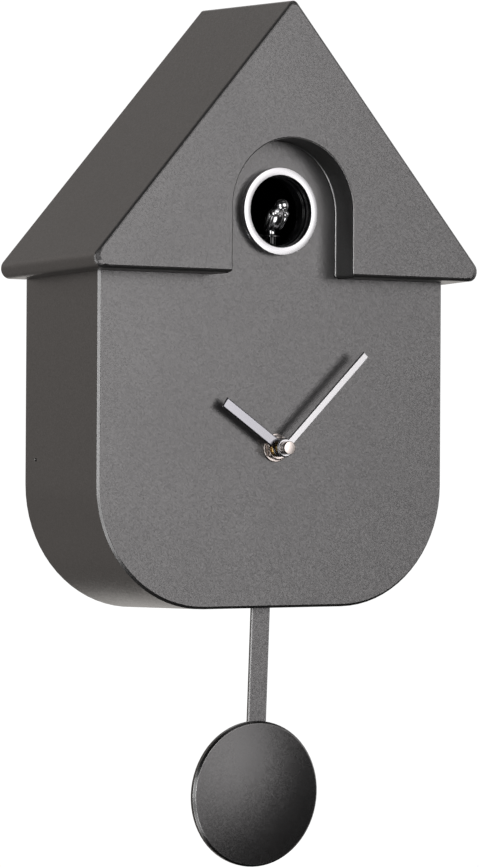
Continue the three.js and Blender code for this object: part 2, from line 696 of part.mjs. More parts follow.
function threadedBush() {
  const profile = [[HOUR_TUBE_RADIUS + 0.1, BUSH_FRONT], [BUSH_RADIUS - 0.4, BUSH_FRONT]];
  for (let y = BUSH_FRONT + 0.5; y < FACE - 0.5; y += 1) {
    profile.push([BUSH_RADIUS, y], [BUSH_RADIUS - 0.35, y + 0.5]);
  }
  profile.push(
    [BUSH_RADIUS, FACE - 0.1],
    [BUSH_RADIUS, MOVEMENT_FRONT - 0.1],
    [5.5, MOVEMENT_FRONT - 0.1],
    [5.5, MOVEMENT_FRONT + 1.2],
    [HOUR_TUBE_RADIUS + 0.1, MOVEMENT_FRONT + 1.2],
    [HOUR_TUBE_RADIUS + 0.1, BUSH_FRONT],
  );
  return turned(profile, 0, 0, 24);
}

function capNut() {
  const front = MINUTE_HAND.front;
  return turned([
    [0, front - 3.4],
    [2.6, front - 3.4],
    [3, front - 3],
    [3, front - 0.05],
    [ARBOR_RADIUS + 0.05, front - 0.05],
    [ARBOR_RADIUS + 0.05, front - 2.4],
    [0, front - 2.4],
  ], 0, 0, 28);
}

function minuteArbor() {
  const handFront = MINUTE_HAND.front;
  const seat = handFront + MINUTE_HAND.thickness + 0.05;
  const shaft = turned([
    [0, handFront - 2.2],
    [ARBOR_RADIUS, handFront - 2.2],
    [ARBOR_RADIUS, seat],
    [2, seat],
    [2, FACE + 7],
    [1, FACE + 7],
    [1, FACE + 14],
    [0, FACE + 14],
  ], 0, 0, 24);
  const cannon = plate(gearOutline(CANNON_TEETH, CANNON_MODULE, 0), [FACE + 8.2, FACE + 9.6]);
  return join(shaft, cannon);
}

function hourWheel() {
  const handRear = HOUR_HAND.front + HOUR_HAND.thickness;
  const sleeve = tube(HOUR_TUBE_RADIUS, 2.1, [HOUR_HAND.front - 0.5, FACE + 6.4], 0, 0, 24);
  const wheel = cut(
    plate(gearOutline(HOUR_TEETH, HOUR_MODULE, 0), [FACE + 5.2, FACE + 6.4]),
    pin(HOUR_TUBE_RADIUS - 0.3, [FACE + 5, FACE + 7], 0, 0),
  );
  const collar = tube(HOUR_TUBE_RADIUS + 0.9, HOUR_TUBE_RADIUS - 0.2, [handRear + 0.05, handRear + 0.5], 0, 0, 24);
  return join(sleeve, wheel, collar);
}

function motionWheel() {
  const motionPhase = Math.PI + Math.PI / MOTION_TEETH;
  const pinionPhase = Math.PI + Math.PI / HOUR_PINION_TEETH;
  const wheel = gearOutline(MOTION_TEETH, CANNON_MODULE, motionPhase, MOTION_X);
  const pinion = gearOutline(HOUR_PINION_TEETH, HOUR_MODULE, pinionPhase, MOTION_X);
  return join(
    plate(wheel, [FACE + 8.2, FACE + 9.4]),
    plate(pinion, [FACE + 5.2, FACE + 8.4]),
    pin(0.9, [FACE + 4.4, FACE + 24], MOTION_X, 0, 16),
  );
}

function setKnob() {
  const stem = tube(2.2, 0.95, [FACE + 21, REAR - 6], MOTION_X, 0, 20);
  const outline = [];
  const flutes = 14;
  for (let i = 0; i < flutes; i += 1) {
    for (const [radius, offset] of [[7.5, -0.2], [7.5, 0.2], [7.1, 0.4], [7.1, 0.6]]) {
      const angle = (2 * Math.PI * (i + offset)) / flutes;
      outline.push(new THREE.Vector2(MOTION_X + radius * Math.cos(angle), radius * Math.sin(angle)));
    }
  }
  const bar = box([MOTION_X - 6, MOTION_X + 6], [REAR - 1, REAR + 1], [-0.6, 0.6]);
  return join(stem, cut(plate(outline, [REAR - 7, REAR - 0.3]), bar));
}

function movementCase(depth, wallDepth) {
  const across = (inset) => [-MOVEMENT_HALF_WIDTH + inset, MOVEMENT_HALF_WIDTH - inset];
  const height = (inset) => [MOVEMENT_BOTTOM + inset, MOVEMENT_TOP - inset];
  return cut(box(across(0), depth, height(0)), box(across(1.4), wallDepth, height(1.4)));
}

function movementFront() {
  const shell = movementCase([MOVEMENT_FRONT, MOVEMENT_SPLIT - 0.05], [MOVEMENT_FRONT + 1.4, MOVEMENT_SPLIT + 1]);
  return cut(shell, pin(5.6, [MOVEMENT_FRONT - 1, MOVEMENT_FRONT + 2], 0, 0, 28));
}

function movementRear() {
  const shell = movementCase([MOVEMENT_SPLIT + 0.05, MOVEMENT_REAR], [MOVEMENT_SPLIT - 1, MOVEMENT_REAR - 1.4]);
  return cut(shell, pin(1.2, [MOVEMENT_REAR - 2, MOVEMENT_REAR + 1], MOTION_X, 0, 16));
}

// The coil of the step motor, on the long leg of its stator.
function stepMotor() {
  const y = [FACE + 11, FACE + 12.4];
  const core = box([-24, 14], y, [-31, -28]);
  const legs = [box([-24, -20], y, [-31, -17]), box([-20.5, 2], y, [-22, -17])];
  const returnLeg = box([10, 14], y, [-31, -17]);
  const pole = box([1.5, 14], y, [-22, -17]);
  const rotorHole = pin(3.3, [FACE + 10, FACE + 14], -6, -19.5, 20);
  const stator = cut(join(core, ...legs, returnLeg, pole, pin(5, y, -6, -19.5, 20)), rotorHole);
  const winding = cut(
    box([-17, 7], [FACE + 8, FACE + 15.4], [-33.2, -25.4]),
    box([-18, 8], [y[0] - 0.1, y[1] + 0.1], [-31.1, -27.9]),
  );
  const rotor = join(
    pin(2.7, [FACE + 10.2, FACE + 13], -6, -19.5, 20),
    pin(0.6, [FACE + 5, FACE + 17], -6, -19.5, 12),
    plate(gearOutline(8, 0.25, 0, -6, -19.5), [FACE + 6, FACE + 8]),
  );
  addPiece("motor_stator", "steel", stator);
  addPiece("motor_coil", "copper", winding);
  addPiece("motor_rotor", "steel", rotor);
}

function movementBoard() {
  const board = box([-24, 24], [FACE + 14.2, FACE + 15.2], [8, 17]);
  const crystal = crossPin(1.4, [-20, -12], FACE + 12.8, 12.5, 12);
  const chip = pin(3.5, [FACE + 12.8, FACE + 14.4], 12, 12.5, 16);
  return join(board, crystal, chip, box([-21, -19], [FACE + 12.4, FACE + 14.4], [11.6, 13.4]));
}

// The pendulum and its electromagnetic drive. What swings is turned about the pivot.

function swung(geometry) {
  return geometry.translate(0, 0, -PIVOT_HEIGHT).rotateY(SWING).translate(0, 0, PIVOT_HEIGHT);
}

function addPendulum() {
  const rodDepth = [ROD_FRONT, ROD_FRONT + ROD_THICKNESS];
  const side = ROD_HALF_WIDTH;
  const rodOutline = (inset) => [
    new THREE.Vector2(-side + inset, BOB_HEIGHT - 6),
    new THREE.Vector2(side - inset, BOB_HEIGHT - 6),
    new THREE.Vector2(side - inset, ROD_TOP - inset),
    new THREE.Vector2(-side + inset, ROD_TOP - inset),
  ];
  const blank = loft([
    { y: rodDepth[0], points: rodOutline(0.5) },
    { y: rodDepth[0] + 0.5, points: rodOutline(0) },
    { y: rodDepth[1], points: rodOutline(0) },
  ]);
  const rod = cut(blank, pin(1.7, [rodDepth[0] - 1, rodDepth[1] + 1], 0, ROD_TOP - 5, 20));

  const faceRadius = BOB_RADIUS - BOB_BEVEL;
  const crownedFace = [0, 0.2, 0.4, 0.6, 0.8, 1].map((share) =>
    [faceRadius * share, BOB_FRONT - BOB_CROWN * (1 - share ** 2)]);
  const disc = turned([
    ...crownedFace,
    [BOB_RADIUS, BOB_FRONT + BOB_BEVEL],
    [BOB_RADIUS, BOB_FRONT + BOB_THICKNESS],
    [0, BOB_FRONT + BOB_THICKNESS],
  ], 0, BOB_HEIGHT, 72);
  disc.translate(0, -BOB_FRONT, -BOB_HEIGHT).rotateX(BOB_NOD).rotateZ(BOB_TURN);
  disc.translate(0, BOB_FRONT, BOB_HEIGHT);
  const rodSlot = box([-side - 0.3, side + 0.3], [rodDepth[0] - 0.2, rodDepth[1] + 0.2],
    [BOB_HEIGHT - 7, BOB_HEIGHT + BOB_RADIUS + 2]);
  const bob = cut(disc, rodSlot);

  const hangerDepth = [rodDepth[1] + 0.2, rodDepth[1] + 1.4];
  const strap = box([-4, 4], hangerDepth, [PIVOT_HEIGHT - 22, PIVOT_HEIGHT + 4]);
  const stud = pin(1.4, [rodDepth[0] - 0.6, hangerDepth[0] + 0.4], 0, ROD_TOP - 5, 20);
  const pivotHole = pin(PIN_RADIUS + 0.05, [hangerDepth[0] - 1, hangerDepth[1] + 1], 0, PIVOT_HEIGHT, 24);
  const hanger = cut(join(strap, stud), pivotHole);
  const magnet = pin(4, [hangerDepth[1] + 0.05, hangerDepth[1] + 2.2], 0, PIVOT_HEIGHT - 17, 24);

  addPiece("pendulum_rod", "anthracite", swung(rod));
  addPiece("pendulum_bob", "anthracite", swung(bob));
  addPiece("pendulum_hanger", "steel", swung(hanger));
  addPiece("drive_magnet", "nickel", swung(magnet));
}

function driveCase() {
  const low = PIVOT_HEIGHT - 24;
  const high = PIVOT_HEIGHT + 6;
  const depth = [DRIVE_FRONT, DRIVE_FRONT + 13];
  const shell = box([-15, 15], depth, [low, high]);
  const hollow = box([-13.6, 13.6], [depth[0] + 1.2, depth[1] + 1], [low + 1.4, high - 1.4]);
  const pivot = turned([
    [0, ROD_FRONT + 0.2],
    [2.1, ROD_FRONT + 0.2],
    [2.1, ROD_FRONT + 1.2],
    [PIN_RADIUS, ROD_FRONT + 1.2],
    [PIN_RADIUS, DRIVE_FRONT + 0.4],
    [0, DRIVE_FRONT + 0.4],
  ], 0, PIVOT_HEIGHT, 24);
  return join(cut(shell, hollow), pivot);
}

// Loudspeaker, boards and controls.

function speakerBasket() {
  const front = COVER_FRONT - 10;
  const z = SPEAKER_HEIGHT;
  return turned([
    [9.5, front],
    [12, front],
    [17.5, COVER_FRONT - 4],
    [SPEAKER_RADIUS, COVER_FRONT - 4],
    [SPEAKER_RADIUS, COVER_FRONT - 0.1],
    [18.2, COVER_FRONT - 0.1],
    [16.6, COVER_FRONT - 3],
    [9.5, front + 1.2],
    [9.5, front],
  ], 0, z, 28);
}

function speakerCone() {
  const rear = COVER_FRONT - 2.2;
  return turned([
    [0, rear - 4.4],
    [5.5, rear - 4.4],
    [16.1, rear - 0.5],
    [16.1, rear + 0.2],
    [6, rear - 3.4],
    [3.5, rear - 1.9],
    [0, rear - 1.4],
  ], 0, SPEAKER_HEIGHT, 24);
}

function volumeSwitch() {
  const y = [BOARD_FRONT + BOARD_THICKNESS + 0.05, -5.2];
  const shell = box([VOLUME.x - 8, VOLUME.x + 8], y, [VOLUME.z - 3.5, VOLUME.z + 3.5]);
  return cut(shell, box([VOLUME.x - 5.6, VOLUME.x + 5.6], [-7.4, -4], [VOLUME.z - 1.6, VOLUME.z + 1.6]));
}

function volumeSlider() {
  const x = VOLUME.x - 3;
  const base = box([x - 2.2, x + 2.2], [-7.2, -5.9], [VOLUME.z - 1.4, VOLUME.z + 1.4]);
  const knob = box([x - 1.5, x + 1.5], [-6.2, REAR - 0.3], [VOLUME.z - 1.4, VOLUME.z + 1.4]);
  const grooves = [-0.7, 0.7].map((dx) =>
    box([x + dx - 0.2, x + dx + 0.2], [REAR - 0.7, REAR], [VOLUME.z - 2, VOLUME.z + 2]));
  return cut(join(base, knob), ...grooves);
}

function testButton() {
  return turned([
    [0, -9.2],
    [1.4, -9.2],
    [1.4, -5],
    [3, -5],
    [3, REAR - 0.9],
    [2.6, REAR - 0.4],
    [0, REAR - 0.4],
  ], TEST_BUTTON.x, TEST_BUTTON.z, 20);
}

function soundBoard() {
  const depth = [BOARD_FRONT, BOARD_FRONT + BOARD_THICKNESS];
  const board = box([-45, 45], depth, [24, 66]);
  const chip = box([-5, 5], [BOARD_FRONT - 2.2, BOARD_FRONT + 0.3], [42, 52]);
  const capacitors = [18, 27].map((x) => pin(3, [BOARD_FRONT - 8, BOARD_FRONT + 0.3], x, 34, 16));
  const switchBase = box([TEST_BUTTON.x - 3, TEST_BUTTON.x + 3], [depth[1] - 0.3, -10.4],
    [TEST_BUTTON.z - 3, TEST_BUTTON.z + 3]);
  return join(board, chip, ...capacitors, switchBase);
}

// Conical contact spring at one end of the battery bay.
function contactSpring() {
  const z = BATTERY_HEIGHT + 7.7;
  const turns = 3;
  const points = [];
  for (let i = 0; i <= 12 * turns; i += 1) {
    const share = i / (12 * turns);
    const angle = 2 * Math.PI * turns * share;
    const radius = 4.2 - 1.8 * share;
    points.push(new THREE.Vector3(
      -27.6 + 2.6 * share,
      -11.2 + radius * Math.cos(angle),
      z + radius * Math.sin(angle),
    ));
  }
  const wire = new THREE.Shape(arc(0, 0, 0.35, 0, 2 * Math.PI, 5).slice(0, -1));
  const path = new THREE.CatmullRomCurve3(points);
  return new THREE.ExtrudeGeometry(wire, { steps: 42, extrudePath: path, bevelEnabled: false });
}

// Assembly.

addPiece("roof_shell", "anthracite", roofShell());
addPiece("body_shell", "anthracite", bodyShell());
addPiece("back_cover", "black_plastic", backCover());
for (const { name, x, z } of COVER_SCREWS) {
  addPiece(name, "steel", screw(x, z, REAR - 0.1, 12));
}
for (const [side, direction] of [["left", -1], ["right", 1]]) {
  addPiece(`roof_screw_${side}`, "steel",
    screw(direction * ROOF_SCREW_X, ROOF_SCREW_HEIGHT, FACE + WALL + 1.55, 9));
  addPiece(`guide_screw_${side}`, "steel",
    screw(direction * GUIDE_SCREW_X, GUIDE_SCREW_HEIGHT, FACE + 10.05, 6));
  addPiece(`wall_pad_${side}`, "rubber", turned([
    [0, REAR - 1.75],
    [4.5, REAR - 1.75],
    [4.5, REAR - 0.3],
    [4.2, REAR],
    [0, REAR],
  ], direction * PAD.x, PAD.z, 24));
}
addPiece("hanger_plate", "steel", hangerPlate());
addPiece("battery_tray", "black_plastic", batteryTray());
addPiece("battery_door", "black_plastic", batteryDoor());
addPiece("battery_cell_upper", "cell_jacket", batteryCell(BATTERY_HEIGHT + 7.7, 1));
addPiece("battery_cell_lower", "cell_jacket", batteryCell(BATTERY_HEIGHT - 7.7, -1));
addPiece("contact_strip", "nickel", box([27.2, 27.8], [-16, -6], [BATTERY_HEIGHT - 13, BATTERY_HEIGHT + 13]));
addPiece("contact_spring", "nickel", contactSpring());
addPiece("light_sensor", "gloss_black", lightSensor());

addPiece("window_ring", "silver", windowRing());
addPiece("window_liner", "gloss_black", windowLiner());
addPiece("bird", "silver", bird());
addPiece("bird_post", "gloss_black", birdPost());
addPiece("bird_carriage", "black_plastic", birdCarriage());
addPiece("carriage_guide", "black_plastic", carriageGuide());
addPiece("rack_pinion", "white_plastic", rackPinion());
addPiece("cuckoo_motor", "steel", cuckooMotor());

addPiece("hour_hand", "silver", hand(HOUR_HAND, HOUR_ANGLE, HOUR_TUBE_RADIUS + 0.03));
addPiece("minute_hand", "silver", hand(MINUTE_HAND, MINUTE_ANGLE, ARBOR_RADIUS + 0.03));
addPiece("cap_nut", "nickel", capNut());
addPiece("dial_washer", "nickel", dialWasher());
addPiece("hex_nut", "nickel", hexNut());
addPiece("threaded_bush", "brass", threadedBush());
addPiece("minute_arbor", "brass", minuteArbor());
addPiece("hour_wheel", "brass", hourWheel());
addPiece("motion_wheel", "white_plastic", motionWheel());
addPiece("set_knob", "black_plastic", setKnob());
addPiece("movement_front", "black_plastic", movementFront());
addPiece("movement_rear", "black_plastic", movementRear());
addPiece("movement_board", "circuit_board", movementBoard());
stepMotor();

addPendulum();
addPiece("drive_case", "black_plastic", driveCase());
addPiece("drive_coil", "copper", tube(8, 3, [DRIVE_FRONT + 1.3, DRIVE_FRONT + 7], 0, PIVOT_HEIGHT - 13, 28));

addPiece("speaker_basket", "steel", speakerBasket());
addPiece("speaker_cone", "paper", speakerCone());
addPiece("speaker_magnet", "steel", pin(11, [COVER_FRONT - 17, COVER_FRONT - 10.05], 0, SPEAKER_HEIGHT, 32));
addPiece("sound_board", "circuit_board", soundBoard());
addPiece("volume_switch", "steel", volumeSwitch());
addPiece("volume_slider", "white_plastic", volumeSlider());
addPiece("test_button", "white_plastic", testButton());

export default clock;
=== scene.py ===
"""Looks of the wall cuckoo clock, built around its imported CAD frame.

Lengths are metres in the row frame: X right, Y into the wall, Z up, with the origin where
the hanger plate rests on the wall screw.
"""

import json
import math

import bmesh
import bpy
from mathutils import Matrix, Vector


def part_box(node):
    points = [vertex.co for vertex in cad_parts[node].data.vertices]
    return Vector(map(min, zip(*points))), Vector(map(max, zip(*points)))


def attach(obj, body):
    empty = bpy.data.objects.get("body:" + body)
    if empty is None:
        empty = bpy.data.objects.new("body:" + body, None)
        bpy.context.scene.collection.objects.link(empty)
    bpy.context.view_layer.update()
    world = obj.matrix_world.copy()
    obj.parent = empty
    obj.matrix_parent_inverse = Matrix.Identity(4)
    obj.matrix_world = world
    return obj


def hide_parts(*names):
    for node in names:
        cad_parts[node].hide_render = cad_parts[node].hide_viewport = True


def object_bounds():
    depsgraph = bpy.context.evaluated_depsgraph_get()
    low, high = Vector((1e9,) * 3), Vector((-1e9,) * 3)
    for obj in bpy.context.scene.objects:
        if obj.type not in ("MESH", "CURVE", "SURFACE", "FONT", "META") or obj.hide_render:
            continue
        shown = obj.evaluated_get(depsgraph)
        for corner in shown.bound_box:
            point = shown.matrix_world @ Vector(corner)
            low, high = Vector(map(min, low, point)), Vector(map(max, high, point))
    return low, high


MM = 0.001
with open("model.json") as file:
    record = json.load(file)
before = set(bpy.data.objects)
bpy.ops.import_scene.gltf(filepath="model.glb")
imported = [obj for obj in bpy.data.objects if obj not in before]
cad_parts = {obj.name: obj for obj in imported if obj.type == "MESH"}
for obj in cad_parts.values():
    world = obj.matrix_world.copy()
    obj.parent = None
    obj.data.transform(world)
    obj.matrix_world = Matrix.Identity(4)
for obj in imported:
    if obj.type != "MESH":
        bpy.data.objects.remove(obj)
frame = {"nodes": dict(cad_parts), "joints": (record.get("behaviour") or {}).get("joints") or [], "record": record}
CAD_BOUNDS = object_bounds()
NODES = frame["nodes"]
JOINTS = {joint["name"]: joint for joint in frame["joints"]}
BODY_OF = {
    node: body
    for body, members in frame["record"]["behaviour"]["bodies"].items()
    for node in members
}
SLOT_OF = {part["node"]: part["material_slot"] for part in frame["record"]["subparts"]}
HANDS_CENTRE = Vector(JOINTS["minute_turn"]["pos_m"])


# Node graphs.


class Tree:
    """The node tree of a material or a world, with short calls for links and vector maths."""

    def __init__(self, owner):
        self.tree = owner.node_tree
        self.nodes = self.tree.nodes

    def link(self, source, target):
        self.tree.links.new(source, target)

    def vector_math(self, operation, *inputs):
        """The result of one operation. Each input is a tuple or the output of another node."""
        node = self.nodes.new("ShaderNodeVectorMath")
        node.operation = operation
        for value, socket in zip(inputs, node.inputs):
            if isinstance(value, tuple):
                socket.default_value = value
            else:
                self.link(value, socket)
        return node.outputs["Value" if operation == "DOT_PRODUCT" else "Vector"]


class Graph(Tree):
    """A new material's node tree, with short calls for the patterns that the finishes share."""

    def __init__(self, name, colour, metallic=0.0, roughness=0.5, **sockets):
        self.material = bpy.data.materials.new(name)
        self.material.use_nodes = True
        super().__init__(self.material)
        self.shader = self.nodes["Principled BSDF"]
        self.shader.inputs["Base Color"].default_value = (*colour, 1)
        self.shader.inputs["Metallic"].default_value = metallic
        self.shader.inputs["Roughness"].default_value = roughness
        for socket, value in sockets.items():
            self.shader.inputs[socket.replace("_", " ")].default_value = value
        self.space = self.nodes.new("ShaderNodeTexCoord").outputs["Object"]

    def stretched(self, scale):
        """Object space with a scale for each axis."""
        mapping = self.nodes.new("ShaderNodeMapping")
        mapping.inputs["Scale"].default_value = scale
        self.link(self.space, mapping.inputs["Vector"])
        return mapping.outputs["Vector"]

    def noise(self, size, detail=2.0, space=None):
        """Noise whose features are about size metres across."""
        node = self.nodes.new("ShaderNodeTexNoise")
        node.inputs["Scale"].default_value = 1 / size
        node.inputs["Detail"].default_value = detail
        self.link(space or self.space, node.inputs["Vector"])
        return node.outputs["Fac"]

    def cells(self, size):
        """A random colour for each cell of size metres."""
        node = self.nodes.new("ShaderNodeTexVoronoi")
        node.inputs["Scale"].default_value = 1 / size
        self.link(self.space, node.inputs["Vector"])
        return node.outputs["Color"]

    def red(self, colour):
        """The red channel of a colour."""
        split = self.nodes.new("ShaderNodeSeparateColor")
        self.link(colour, split.inputs["Color"])
        return split.outputs["Red"]

    def spread(self, value, low, high, source=(0.3, 0.7)):
        """A value mapped from the source range to the range from low to high."""
        node = self.nodes.new("ShaderNodeMapRange")
        node.inputs["From Min"].default_value = source[0]
        node.inputs["From Max"].default_value = source[1]
        node.inputs["To Min"].default_value = low
        node.inputs["To Max"].default_value = high
        self.link(value, node.inputs["Value"])
        return node.outputs["Result"]

    def blend(self, share, first, second):
        """From first to second by share. Each is a tuple or the output of another node."""
        node = self.nodes.new("ShaderNodeMix")
        node.data_type = "RGBA"
        self.link(share, node.inputs["Factor"])
        for socket, colour in ((node.inputs["A"], first), (node.inputs["B"], second)):
            if isinstance(colour, tuple):
                socket.default_value = (*colour, 1)
            else:
                self.link(colour, socket)
        return node.outputs["Result"]

    def surface(self):
        """The surface normal."""
        return self.nodes.new("ShaderNodeNewGeometry").outputs["Normal"]

    def rounded(self, radius):
        """The surface normal as if every edge were rounded to radius metres."""
        bevel = self.nodes.new("ShaderNodeBevel")
        bevel.samples = 4
        bevel.inputs["Radius"].default_value = radius
        return bevel.outputs["Normal"]

    def tilted(self, random, tilt):
        """The surface normal, turned a little by a random colour."""
        centred = self.vector_math("SUBTRACT", random, (0.5, 0.5, 0.5))
        offset = self.vector_math("MULTIPLY", centred, (tilt, tilt, tilt))
        return self.vector_math("NORMALIZE", self.vector_math("ADD", self.surface(), offset))

    def edges(self, radius, high):
        """Near 0 on flat surfaces and near high where an edge is within radius metres."""
        facing = self.vector_math("DOT_PRODUCT", self.rounded(radius), self.surface())
        return self.spread(facing, high, 0, source=(0.8, 1.0))

    def colour(self, value):
        self.link(value, self.shader.inputs["Base Color"])

    def roughness(self, value):
        self.link(value, self.shader.inputs["Roughness"])

    def relief(self, height, depth, normal=None):
        """Bumps of depth metres on the surface, or on another normal."""
        bump = self.nodes.new("ShaderNodeBump")
        bump.inputs["Strength"].default_value = 1
        bump.inputs["Distance"].default_value = depth
        self.link(height, bump.inputs["Height"])
        if normal is not None:
            self.link(normal, bump.inputs["Normal"])
        self.link(bump.outputs["Normal"], self.shader.inputs["Normal"])


# Finishes: a function for each material slot of the record, and metal() that some share.


def anthracite(name="anthracite_lacquer", tone=0.2, rough=(0.35, 0.37), tilt=0.09):
    """Metallic anthracite lacquer: flakes that lie at slightly different angles."""
    graph = Graph(name, (tone, tone, tone), metallic=0.9, roughness=rough[0])
    flakes = graph.cells(0.5 * MM)
    dark, light = ((share, 0.99 * share, 0.99 * share) for share in (0.925 * tone, 1.075 * tone))
    base = graph.blend(graph.red(flakes), dark, light)
    graph.colour(graph.blend(graph.edges(0.7 * MM, 0.8), base, (0.55, 0.545, 0.54)))
    graph.roughness(graph.spread(graph.noise(35 * MM, detail=3), *rough))
    graph.relief(graph.noise(1.5 * MM, detail=3), 0.01 * MM, graph.tilted(flakes, tilt))
    return graph.material


def black_plastic():
    """Black plastic with a spark-eroded moulding grain and a little dust in patches."""
    graph = Graph("black_plastic", (0.02, 0.02, 0.021), roughness=0.5)
    grain = graph.noise(0.5 * MM, detail=3)
    scuffs = graph.noise(14 * MM, detail=5)
    dust = graph.spread(scuffs, 0, 1, (0.4, 0.8))
    dusty = graph.blend(dust, (0.026, 0.026, 0.027), (0.05, 0.049, 0.048))
    graph.colour(graph.blend(graph.edges(0.4 * MM, 0.4), dusty, (0.06, 0.06, 0.06)))
    graph.roughness(graph.spread(scuffs, 0.44, 0.6))
    graph.relief(grain, 0.03 * MM, graph.rounded(0.25 * MM))
    return graph.material


def gloss_black():
    """Polished black moulding with a faint waviness."""
    graph = Graph("gloss_black", (0.008, 0.008, 0.009), roughness=0.12, Coat_Weight=0.6)
    haze = graph.noise(4 * MM, detail=4)
    hazy = graph.spread(haze, 0, 1)
    graph.colour(graph.blend(hazy, (0.006, 0.006, 0.007), (0.014, 0.014, 0.015)))
    graph.roughness(graph.spread(haze, 0.08, 0.18))
    graph.relief(graph.noise(1.5 * MM), 0.008 * MM, graph.rounded(0.15 * MM))
    return graph.material


def metal(name, dark, bright, size, rough, depth):
    """Metal with marks of a size and depth, tarnish in patches and bright edges."""
    graph = Graph(name, bright, metallic=1.0, roughness=rough[0])
    marks = graph.noise(size, detail=3)
    patches = graph.noise(9 * MM, detail=4)
    tone = graph.blend(graph.spread(patches, 0, 1), dark, bright)
    polished = tuple(min(1.0, channel * 1.15) for channel in bright)
    graph.colour(graph.blend(graph.edges(0.25 * MM, 0.7), tone, polished))
    graph.roughness(graph.spread(patches, *rough))
    graph.relief(marks, depth, graph.rounded(0.12 * MM))
    return graph.material


def silver():
    return metal(
        "silver_satin", (0.68, 0.68, 0.695), (0.72, 0.72, 0.73), 0.8 * MM, (0.24, 0.28), 0.001 * MM
    )


def nickel():
    return metal(
        "nickel_plate", (0.7, 0.63, 0.59), (0.76, 0.69, 0.65), 0.3 * MM, (0.2, 0.26), 0.002 * MM
    )


def brass():
    return metal(
        "turned_brass", (0.55, 0.38, 0.14), (0.72, 0.52, 0.22), 0.3 * MM, (0.24, 0.36), 0.006 * MM
    )


def steel():
    return metal(
        "zinc_steel", (0.42, 0.43, 0.45), (0.6, 0.61, 0.63), 0.4 * MM, (0.3, 0.45), 0.008 * MM
    )


def copper():
    """Enamelled winding wire in shallow bands about 2 mm apart."""
    graph = Graph("copper_winding", (0.6, 0.25, 0.1), metallic=1.0, roughness=0.35)
    wave = graph.nodes.new("ShaderNodeTexWave")
    wave.bands_direction = "Y"
    wave.inputs["Scale"].default_value = 1 / (6 * MM)
    wave.inputs["Distortion"].default_value = 0.6
    graph.link(graph.space, wave.inputs["Vector"])
    turns = wave.outputs["Fac"]
    graph.colour(graph.blend(turns, (0.28, 0.08, 0.03), (0.72, 0.32, 0.14)))
    graph.roughness(graph.spread(graph.noise(3 * MM), 0.28, 0.42))
    graph.relief(turns, 0.1 * MM)
    return graph.material


def white_plastic():
    graph = Graph("white_plastic", (0.72, 0.71, 0.67), roughness=0.42, Subsurface_Weight=0.1)
    haze = graph.noise(6 * MM, detail=4)
    tone = graph.blend(graph.spread(haze, 0, 1), (0.66, 0.65, 0.6), (0.76, 0.75, 0.72))
    graph.colour(graph.blend(graph.edges(0.3 * MM, 0.5), tone, (0.85, 0.84, 0.81)))
    graph.roughness(graph.spread(haze, 0.36, 0.5))
    graph.relief(graph.noise(0.5 * MM), 0.01 * MM, graph.rounded(0.2 * MM))
    return graph.material


def circuit_board():
    """Green solder mask over a maze of copper tracks."""
    graph = Graph("circuit_board", (0.02, 0.12, 0.05), roughness=0.3, Coat_Weight=0.4)
    tracks = graph.nodes.new("ShaderNodeTexBrick")
    tracks.inputs["Scale"].default_value = 1 / (9 * MM)
    tracks.inputs["Mortar Size"].default_value = 0.06
    graph.link(graph.stretched((1, 1, 2.3)), tracks.inputs["Vector"])
    line = tracks.outputs["Fac"]
    mottle = graph.spread(graph.noise(5 * MM), 0, 1)
    tone = graph.blend(mottle, (0.012, 0.09, 0.035), (0.02, 0.13, 0.055))
    graph.colour(graph.blend(line, tone, (0.05, 0.24, 0.09)))
    graph.roughness(graph.spread(line, 0.24, 0.36, (0, 1)))
    graph.relief(line, 0.04 * MM, graph.rounded(0.1 * MM))
    return graph.material


def rubber():
    graph = Graph("soft_rubber", (0.025, 0.025, 0.025), roughness=0.8)
    bloom = graph.noise(2.5 * MM, detail=5)
    dusty = graph.spread(bloom, 0, 1)
    graph.colour(graph.blend(dusty, (0.018, 0.018, 0.018), (0.05, 0.048, 0.046)))
    graph.roughness(graph.spread(bloom, 0.7, 0.92))
    graph.relief(graph.noise(0.25 * MM, detail=3), 0.03 * MM, graph.rounded(0.2 * MM))
    return graph.material


def paper():
    """Pressed paper pulp with loose fibres."""
    graph = Graph("paper_cone", (0.06, 0.055, 0.05), roughness=0.9)
    fibres = graph.noise(0.6 * MM, detail=6, space=graph.stretched((1, 4, 1)))
    pale = graph.spread(fibres, 0, 1)
    graph.colour(graph.blend(pale, (0.035, 0.032, 0.03), (0.1, 0.092, 0.082)))
    graph.roughness(graph.spread(fibres, 0.82, 0.95))
    graph.relief(fibres, 0.06 * MM, graph.rounded(0.2 * MM))
    return graph.material


def cell_jacket():
    """Printed metal jacket in a black and a copper band, with rubbed patches."""
    graph = Graph("cell_jacket", (0.42, 0.27, 0.06), metallic=0.8, roughness=0.3)
    split = graph.nodes.new("ShaderNodeSeparateXYZ")
    graph.link(graph.space, split.inputs["Vector"])
    band = graph.spread(split.outputs["X"], 0, 1, (8 * MM, 8.3 * MM))
    tone = graph.blend(band, (0.025, 0.025, 0.027), (0.5, 0.3, 0.07))
    rubbed = graph.noise(6 * MM, detail=5)
    graph.colour(graph.blend(graph.spread(rubbed, 0, 0.25), tone, (0.4, 0.38, 0.34)))
    graph.roughness(graph.spread(rubbed, 0.24, 0.4))
    graph.relief(graph.noise(1.2 * MM), 0.01 * MM, graph.rounded(0.4 * MM))
    return graph.material


FINISHES = {
    "anthracite": anthracite(),
    "black_plastic": black_plastic(),
    "gloss_black": gloss_black(),
    "silver": silver(),
    "nickel": nickel(),
    "brass": brass(),
    "steel": steel(),
    "white_plastic": white_plastic(),
    "copper": copper(),
    "circuit_board": circuit_board(),
    "rubber": rubber(),
    "paper": paper(),
    "cell_jacket": cell_jacket(),
}


